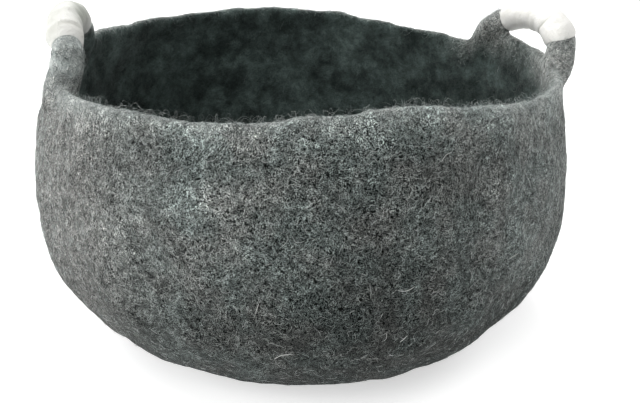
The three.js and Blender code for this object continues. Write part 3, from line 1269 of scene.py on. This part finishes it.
@dataclass
class Hairs:
    """A lot of short curled wool hairs that lie on the felt or stand a little off it."""

    name: str
    zone: Zone
    finish: HairFinish
    seed: int
    count: int
    length: tuple[float, float]
    radius: tuple[float, float]
    curl: tuple[float, float]
    lift: tuple[float, float]
    knots: int = 4
    frizz: float = 0.0
    margin: float = 0.12 * MM

    def chances(self, bowl: Bowl) -> Array:
        """How likely a hair grows on each face: its area times the zone's weight.

        Args:
            bowl: the bowl, once it is built.

        Returns:
            One weight for each face.
        """
        points, quads = bowl.surface, bowl.quads
        a, b, c, d = (points[quads[:, k]] for k in range(4))
        area = np.linalg.norm(np.cross(c - a, d - b), axis=1)
        inside, hairy = bowl.inside[quads].mean(1), bowl.hairy[quads].mean(1)
        up = bowl.outward[quads, 2].mean(1)
        high = points[quads, 2].mean(1)
        if self.zone is Zone.RIM:
            weight = ease(up, 0.25, 0.8) * ease(high, 0.19, 0.21) + 0.25 * bowl.tube[quads].mean(1)
        elif self.zone is Zone.INSIDE:
            weight = inside
        else:
            weight = 1.0 - inside
        return area * weight * hairy

    def build(self, bowl: Bowl, felt: Thing) -> Thing:
        """Grows the hairs.

        Each one starts on a random face and runs on in a flat curl, whose heading turns at a steady rate with
        a slow sway. Its knots are laid on the felt and then lifted, most in the middle of the hair, with
        the frizz as a cosine along it, and a three-sided tube that thins to both ends is carried along them.

        Args:
            bowl: the bowl, once it is built.
            felt: its object.

        Returns:
            The hairs, as one object.
        """
        rng = np.random.default_rng(self.seed)
        chance = self.chances(bowl)
        face = rng.choice(len(chance), self.count, p=chance / chance.sum())
        corner = rng.dirichlet(np.ones(4), self.count)[..., None]
        start = np.sum(bowl.surface[bowl.quads[face]] * corner, axis=1)
        normal = unit(np.sum(bowl.outward[bowl.quads[face]] * corner, axis=1))
        side = unit(np.cross(normal, unit(rng.normal(size=(self.count, 3)))))
        ahead = np.cross(normal, side)
        knot = np.linspace(0.0, 1.0, self.knots)

        def draw(low: float, high: float) -> Array:
            """One chance number for each hair, as a column."""
            return rng.uniform(low, high, self.count)[:, None]

        length = draw(*self.length)
        bend = draw(*self.curl) * rng.choice((-1.0, 1.0), self.count)[:, None]
        sway = draw(0.2, 0.9) * np.sin(2.0 * np.pi * (knot * draw(0.6, 1.4) + draw(0.0, 1.0)))
        east, north = running(bend * length * knot + sway, length)
        path = start[:, None] + east[..., None] * ahead[:, None] + north[..., None] * side[:, None]
        laid, above = lay_on(felt, path)
        thick = draw(*self.radius)
        rise = mix(*self.lift, draw(0.0, 1.0) ** 2) * np.sin(np.pi * knot)
        loose = mix(*self.lift, draw(0.0, 1.0) ** 3) * knot**2
        wave = 2.0 * np.pi * (draw(0.4, 1.6) * knot + draw(0.0, 1.0))
        frizz = self.frizz * draw(0.0, 1.0) ** 2 * (1.0 + np.cos(wave)) * ease(knot, 0.0, 0.3)
        path = laid + above * (self.margin + thick + rise + loose + frizz)[..., None]
        path[..., 2] = np.maximum(path[..., 2], 2.0 * thick)
        return self.tubes(path, above, thick, rng)

    def tubes(self, path: Array, above: Array, thick: Array, rng: np.random.Generator) -> Thing:
        """Carries a triangle along each path, thinning as the root of a sine to both ends, and caps it.

        Args:
            path: the knots of each hair.
            above: the felt's outward direction at each knot.
            thick: one radius for each hair, as a column.
            rng: where the tones are drawn from.

        Returns:
            The hairs, as one object.
        """
        count, knots = path.shape[:2]
        ahead = unit(np.gradient(path, axis=1))
        side = unit(np.cross(ahead, above))
        over = np.cross(side, ahead)
        taper = 0.25 + 0.75 * np.sqrt(np.sin(np.pi * np.linspace(0.06, 0.92, knots)))
        spoke = np.arange(3) * 2.0 * np.pi / 3.0 + np.pi / 2.0
        reach = (thick * taper)[..., None, None]
        ring = side[:, :, None] * np.cos(spoke)[:, None] + over[:, :, None] * np.sin(spoke)[:, None]
        points = (path[:, :, None] + reach * ring).reshape(-1, 3)
        base = (np.arange(count) * knots * 3)[:, None]
        quads = (base[:, :, None] + grid_faces(knots, 3)[None]).reshape(-1, 4)[:, ::-1]
        last = (knots - 1) * 3
        caps = np.concatenate([base + [0, 1, 2], base + [last + 2, last + 1, last]])
        thing = make_object(self.name, points, quads, caps)
        store(thing, tone=np.repeat(rng.uniform(0.0, 1.0, count) ** 1.3, knots * 3))
        self.store_cells(thing, count, knots)
        thing.data.materials.append(self.finish.material())
        return thing

    def store_cells(self, thing: Thing, count: int, knots: int) -> None:
        """Gives each hair a small square cell of its own on the flat map, the same for all its faces.

        Args:
            thing: the object with the hairs.
            count: how many hairs it has.
            knots: how many knots each hair has.
        """
        across = int(np.ceil(np.sqrt(count)))
        cell = np.arange(count)
        corner = np.stack([cell % across, cell // across], -1) / across
        shares = np.stack(np.meshgrid([0.2, 0.5, 0.8], np.linspace(0.15, 0.85, knots)), -1).reshape(-1, 2)
        flat = (corner[:, None] + shares[None] / across).reshape(-1, 2)
        loops = np.zeros(len(thing.data.loops), np.int32)
        thing.data.loops.foreach_get("vertex_index", loops)
        layer = thing.data.uv_layers.new(name="OFBake")
        layer.data.foreach_set("uv", flat[loops].astype(np.float32).ravel())


@dataclass(frozen=True)
class Thread:
    """A loose thread on the wall: where it starts, how far it runs, its heading above the level, its bend."""

    deg: float
    height: float
    length: float
    heading: float
    bend: float


@dataclass
class Threads(Hairs):
    """A few single pale threads, each laid from its own row."""

    rows: tuple[Thread, ...] = ()
    start_radius: float = 0.22

    def build(self, bowl: Bowl, felt: Thing) -> Thing:
        """Lays an arc for each row on the felt.

        Args:
            bowl: the bowl, once it is built; not used here.
            felt: its object.

        Returns:
            The threads, as one object.
        """
        rng = np.random.default_rng(self.seed)
        table = [(row.deg, row.height, row.length, row.heading, row.bend) for row in self.rows]
        deg, height, length, heading, bend = np.array(table).T[..., None]
        knot = np.linspace(0.0, 1.0, self.knots)
        east, north = running(np.radians(heading) + bend * knot * length, length, 0.0)
        facing = np.radians(deg)
        outward = np.stack([np.cos(facing), np.sin(facing)])
        onward = np.stack([-np.sin(facing), np.cos(facing)])
        flat = self.start_radius * outward + east * onward
        laid, above = lay_on(felt, np.stack([*flat, height + north], -1))
        thick = rng.uniform(*self.radius, self.count)[:, None]
        return self.tubes(laid + above * (self.margin + thick)[..., None], above, thick, rng)


def running(heading: Array, length: Array, back: float = 1.0) -> tuple[Array, Array]:
    """How far each knot of a path lies east and north: the sums of the steps' cosines and sines.

    Args:
        heading: one row of headings for each path.
        length: the whole length of each path, as a column.
        back: how many times the path's first step is taken off again.

    Returns:
        The ways east and the ways north.
    """
    step = length / (heading.shape[1] - 1)
    ways = (np.cos(heading) * step, np.sin(heading) * step)
    return tuple(np.cumsum(way, 1) - back * way[:, :1] for way in ways)


def lay_on(felt: Thing, points: Array) -> tuple[Array, Array]:
    """Drops points onto the nearest place of the felt.

    Args:
        felt: the object to lay them on.
        points: the points, in an array of any shape whose last axis is x, y, z.

    Returns:
        The places on the felt, and the felt's outward direction there, in the same shape.
    """
    carrier = make_object("carrier", points.reshape(-1, 3), np.zeros((0, 4), int))
    press = carrier.modifiers.new("press", "SHRINKWRAP")
    press.target, press.wrap_method, press.wrap_mode = felt, "NEAREST_SURFACEPOINT", "ABOVE_SURFACE"
    places = []
    for offset in (0.0, MM):
        press.offset = offset
        bpy.context.view_layer.update()
        mesh = finished_mesh(carrier)
        places.append(mesh_points(mesh).reshape(points.shape))
        bpy.data.meshes.remove(mesh)
    bpy.data.objects.remove(carrier)
    return places[0], unit(places[1] - places[0])


# ---- studio ----


@dataclass(frozen=True)
class SoftBox:
    """A square studio light that faces the basket."""

    name: str
    place: Triple
    size: float
    watts: float
    aim: Triple = (0.0, 0.0, 0.13)

    def build(self) -> None:
        """Adds the light, turned so that its back points away from its aim."""
        light = bpy.data.lights.new(self.name, "AREA")
        light.shape, light.size, light.energy = "SQUARE", self.size, self.watts
        thing = bpy.data.objects.new(self.name, light)
        thing.location = self.place
        thing.rotation_euler = (Vector(self.aim) - Vector(self.place)).to_track_quat("-Z", "Y").to_euler()
        bpy.context.scene.collection.objects.link(thing)


@dataclass
class Studio:
    """White paper floor, soft lights and the camera."""

    distance: float = 0.66272
    elevation: float = 22.61
    azimuth: float = -17.52
    roll: float = 2.03
    aside: float = 0.0139
    height: float = 0.09515
    lens: float = 40.466
    daylight: float = 0.03
    floor_radius: float = 4.0
    floor_grid: tuple[int, int] = (9, 64)
    paper: PaperFinish = PaperFinish()
    lights: tuple[SoftBox, ...] = (
        SoftBox("overhead", (-0.1, 0.9, 2.2), 2.0, 13.0),
        SoftBox("high_front", (-0.3, -1.3, 1.9), 1.2, 21.0),
        SoftBox("high_back", (0.1, 1.7, 1.7), 1.2, 33.0),
        SoftBox("back_left", (-1.3, 1.3, 1.7), 1.2, 34.0),
        SoftBox("front_left", (-1.3, -1.2, 1.5), 1.2, 13.0),
        SoftBox("key_left", (-1.8, -0.3, 0.9), 0.9, 15.0),
        SoftBox("low_left", (-1.9, -0.7, 0.3), 0.8, 4.0),
        SoftBox("fill_right", (1.7, 0.5, 0.8), 0.9, 22.0),
        SoftBox("far_floor", (1.6, 2.0, 1.4), 1.0, 10.0, aim=(2.2, 2.7, 0.0)),
    )

    def camera(self) -> None:
        """Stands the camera at its distance, azimuth and elevation from its aim, and rolls it a little."""
        azimuth, elevation, roll = np.radians((self.azimuth, self.elevation, self.roll))
        right = Vector((np.cos(azimuth), np.sin(azimuth), 0.0))
        level = np.cos(elevation)
        back = Vector((np.sin(azimuth) * level, -np.cos(azimuth) * level, np.sin(elevation)))
        up = back.cross(right)
        rolled_right = right * np.cos(roll) + up * np.sin(roll)
        rolled_up = up * np.cos(roll) - right * np.sin(roll)
        place = right * self.aside + Vector((0.0, 0.0, self.height)) + back * self.distance
        data = bpy.data.cameras.new("camera")
        data.lens, data.sensor_width, data.sensor_fit = self.lens, 36.0, "HORIZONTAL"
        data.clip_start, data.clip_end = 0.02, 30.0
        thing = bpy.data.objects.new("camera", data)
        axes = Matrix((rolled_right, rolled_up, back)).transposed().to_4x4()
        thing.matrix_world = Matrix.Translation(place) @ axes
        bpy.context.scene.collection.objects.link(thing)
        bpy.context.scene.camera = thing

    def floor(self) -> Thing:
        """A wide round sheet of paper: rings of points out to its radius, closed in the middle.

        Returns:
            The sheet.
        """
        rings, columns = self.floor_grid
        radius, turned = np.linspace(0.0, self.floor_radius, rings)[:, None], full_turn(columns)
        flat = np.stack([radius * np.cos(turned), radius * np.sin(turned), 0.0 * radius * turned], -1)
        thing = make_object("paper_floor", flat.reshape(-1, 3), grid_faces(rings, columns))
        thing.data.materials.append(self.paper.material())
        return thing

    def build(self) -> None:
        """Sets up the camera, the floor, the daylight and the lights."""
        self.camera()
        self.floor()
        world = bpy.data.worlds.new("daylight")
        world.use_nodes = True
        world.node_tree.nodes["Background"].inputs["Color"].default_value = (1.0, 1.0, 1.0, 1.0)
        world.node_tree.nodes["Background"].inputs["Strength"].default_value = self.daylight
        bpy.context.scene.world = world
        for light in self.lights:
            light.build()
        bpy.context.scene.view_settings.view_transform = "Standard"


# ---- the basket ----


def arches(wall: Wall) -> tuple[Arch, Arch]:
    """The right and the left arch, each from its back root over the top to its front root.

    Args:
        wall: the wall that they grow out of.

    Returns:
        The right and the left arch.
    """
    right = (
        ArchRow(0.060, 0.010, 0.188, 0.004),
        ArchRow(0.059, 0.011, 0.212, 0.010),
        ArchRow(0.053, 0.014, 0.236, 0.014),
        ArchRow(0.036, 0.017, 0.250, 0.0105),
        ArchRow(0.006, 0.020, 0.2565, 0.0095),
        ArchRow(-0.026, 0.021, 0.254, 0.0105),
        ArchRow(-0.048, 0.021, 0.241, 0.012),
        ArchRow(-0.056, 0.018, 0.224, 0.014),
        ArchRow(-0.059, 0.013, 0.204, 0.0105),
        ArchRow(-0.060, 0.012, 0.182, 0.004),
    )
    left = (
        ArchRow(0.060, 0.009, 0.188, 0.004),
        ArchRow(0.059, 0.004, 0.212, 0.009),
        ArchRow(0.052, -0.004, 0.234, 0.012),
        ArchRow(0.034, -0.008, 0.250, 0.0095),
        ArchRow(0.004, -0.010, 0.258, 0.010),
        ArchRow(-0.026, -0.010, 0.256, 0.010),
        ArchRow(-0.046, -0.010, 0.245, 0.0113),
        ArchRow(-0.053, -0.0065, 0.227, 0.013),
        ArchRow(-0.055, 0.0005, 0.206, 0.0125),
        ArchRow(-0.056, 0.009, 0.180, 0.004),
    )
    # The left arch's larger pale share is painted light from the left, on top of the fuzzier felt of both
    # arches.
    return Arch(4.0, 1, right, wall, 0.8), Arch(172.0, -1, left, wall, 2.0)


def wraps(right: Arch, left: Arch) -> tuple[Wrap, Wrap]:
    """The two white wraps, with the windings' creases placed on each.

    Args:
        right: the right arch.
        left: the left arch.

    Returns:
        The right and the left wrap.
    """
    wool = WoolFinish()
    right_folds = (
        Fold(0.690, -0.020, 175, 38, 0.9 * MM, 0.012),
        Fold(0.900, -0.030, 122, 26, 0.6 * MM, 0.011),
        Fold(0.440, 0.050, 200, 50, 0.45 * MM, 0.020),
        Fold(0.230, -0.040, 190, 45, 0.40 * MM, 0.022),
        Fold(0.560, 0.060, 20, 60, 0.50 * MM, 0.020),
        Fold(0.330, -0.050, 330, 60, 0.50 * MM, 0.020),
    )
    left_folds = (
        Fold(0.885, 0.010, -104, 40, 1.6 * MM, 0.011),
        Fold(0.930, -0.080, -58, 14, 1.1 * MM, 0.016),
        Fold(0.600, -0.060, -140, 40, 0.5 * MM, 0.020),
        Fold(0.300, 0.040, 150, 60, 0.5 * MM, 0.020),
        Fold(0.720, 0.050, 60, 60, 0.5 * MM, 0.020),
        Fold(0.450, -0.040, 20, 50, 0.5 * MM, 0.020),
        Fold(0.930, 0.0, 165, 62, 1.4 * MM, 0.090),
    )
    left_lumps = (Fold(0.900, 0.0, -18, 26, 2.0 * MM, 0.050),)
    # Painted shade: the left wrap's inner side, turned from the light, is painted grey, and its outer side,
    # lit from the left, is darkened a little.
    left_greyed = (
        Fold(0.42, 0.0, 202, 34, 0.85, 0.26),
        Fold(0.80, 0.0, 188, 30, 0.15, 0.12),
        Fold(0.48, 0.0, -42, 47, 0.55, 0.62),
    )
    # Painted light: the left wrap wears a brighter copy of the same wool, standing in for light that its
    # lower and right sides lack.
    brighter_lit_wool = WoolFinish(white=(0.830, 0.822, 0.795, 1.0), cream_and_crease_shade=(0.740, 0.730, 0.690, 1.0))
    return (
        Wrap("right", right, 0.34, 0.658, 0.03, 140, right_folds, (), (), wool),
        Wrap("left", left, 0.32, 0.67, 0.012, 60, left_folds, left_lumps, left_greyed, brighter_lit_wool),
    )


def hair_lots() -> tuple[Hairs, ...]:
    """All lots of loose hairs on the grey felt.

    Returns:
        The lots in the order in which they are grown.
    """
    light = HairFinish("light_hair", (0.28, 0.325, 0.310, 1.0), (0.68, 0.71, 0.69, 1.0))
    rows = (
        Thread(-114.0, 0.106, 0.0075, 80, -20),
        Thread(-111.0, 0.062, 0.0180, 85, -95),
        Thread(-89.0, 0.082, 0.0070, 55, 0),
        Thread(-90.5, 0.124, 0.0120, -30, 90),
        Thread(-66.0, 0.125, 0.0100, 10, -10),
        Thread(-82.5, 0.206, 0.0090, 40, -60),
    )
    thread = HairFinish("pale_thread", (0.62, 0.63, 0.61, 1.0), (0.85, 0.86, 0.84, 1.0))
    stray = HairFinish("stray_hair", (0.24, 0.28, 0.27, 1.0), (0.62, 0.65, 0.63, 1.0))
    loose = HairFinish("loose_hair", (0.38, 0.42, 0.405, 1.0), (0.82, 0.84, 0.82, 1.0))
    grey = HairFinish("grey_hair", (0.012, 0.018, 0.016, 1.0), (0.16, 0.19, 0.18, 1.0))
    inner = HairFinish("inner_hair", (0.035, 0.046, 0.042, 1.0), (0.13, 0.15, 0.14, 1.0))
    outside = Zone.OUTSIDE
    return (
        Hairs("hair_light", outside, light, 61, 6500, (0.003, 0.007), (0.00006, 0.00011), (20, 240),
              (0.0, 0.0005)),
        Hairs("hair_grey", outside, grey, 62, 4200, (0.003, 0.008), (0.00010, 0.00017), (80, 560),
              (0.0, 0.0005)),
        Hairs("hair_loose", outside, loose, 66, 1200, (0.004, 0.012), (0.00006, 0.00010), (30, 220),
              (0.0003, 0.0012), 7),
        Hairs("hair_pale", outside, light, 65, 9600, (0.002, 0.006), (0.00006, 0.00010), (20, 320),
              (0.0, 0.0006)),
        Hairs("hair_rim", Zone.RIM, stray, 63, 2500, (0.002, 0.014), (0.00003, 0.00005), (15, 110),
              (0.0, 0.0055), 7, 0.0008),
        Hairs("hair_inner", Zone.INSIDE, inner, 64, 500, (0.005, 0.012), (0.00010, 0.00018), (60, 320),
              (0.0, 0.0005), 5),
        Threads("threads", outside, thread, 67, len(rows), (0.006, 0.018), (0.00018, 0.00026), (0, 130),
                (0.0, 0.0), 9, rows=rows),
    )


def main() -> None:
    """Builds the basket's pieces in order and reports each one."""
    logging.basicConfig(level=logging.INFO, format="%(name)s: %(message)s")
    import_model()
    Studio().build()
    wall = Wall()
    right, left = arches(wall)
    pair = wraps(right, left)
    bowl = Bowl(wall, (right, left), tuple(wrap.cover for wrap in pair), FeltFinish())
    felt = bowl.build()
    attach(felt, "root")
    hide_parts("bowl")
    log.info("%s: %d faces", felt.name, len(felt.data.polygons))
    for wrap in pair:
        sleeve = wrap.build(felt)
        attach(sleeve, "root")
        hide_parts(f"wrap_{wrap.side}")
        log.info("%s: %d faces", sleeve.name, len(sleeve.data.polygons))
    for lot in hair_lots():
        hairs = lot.build(bowl, felt)
        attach(hairs, "root")
        log.info("%s: %d hairs, %d faces", hairs.name, lot.count, len(hairs.data.polygons))


if __name__ == "__main__":
    main()
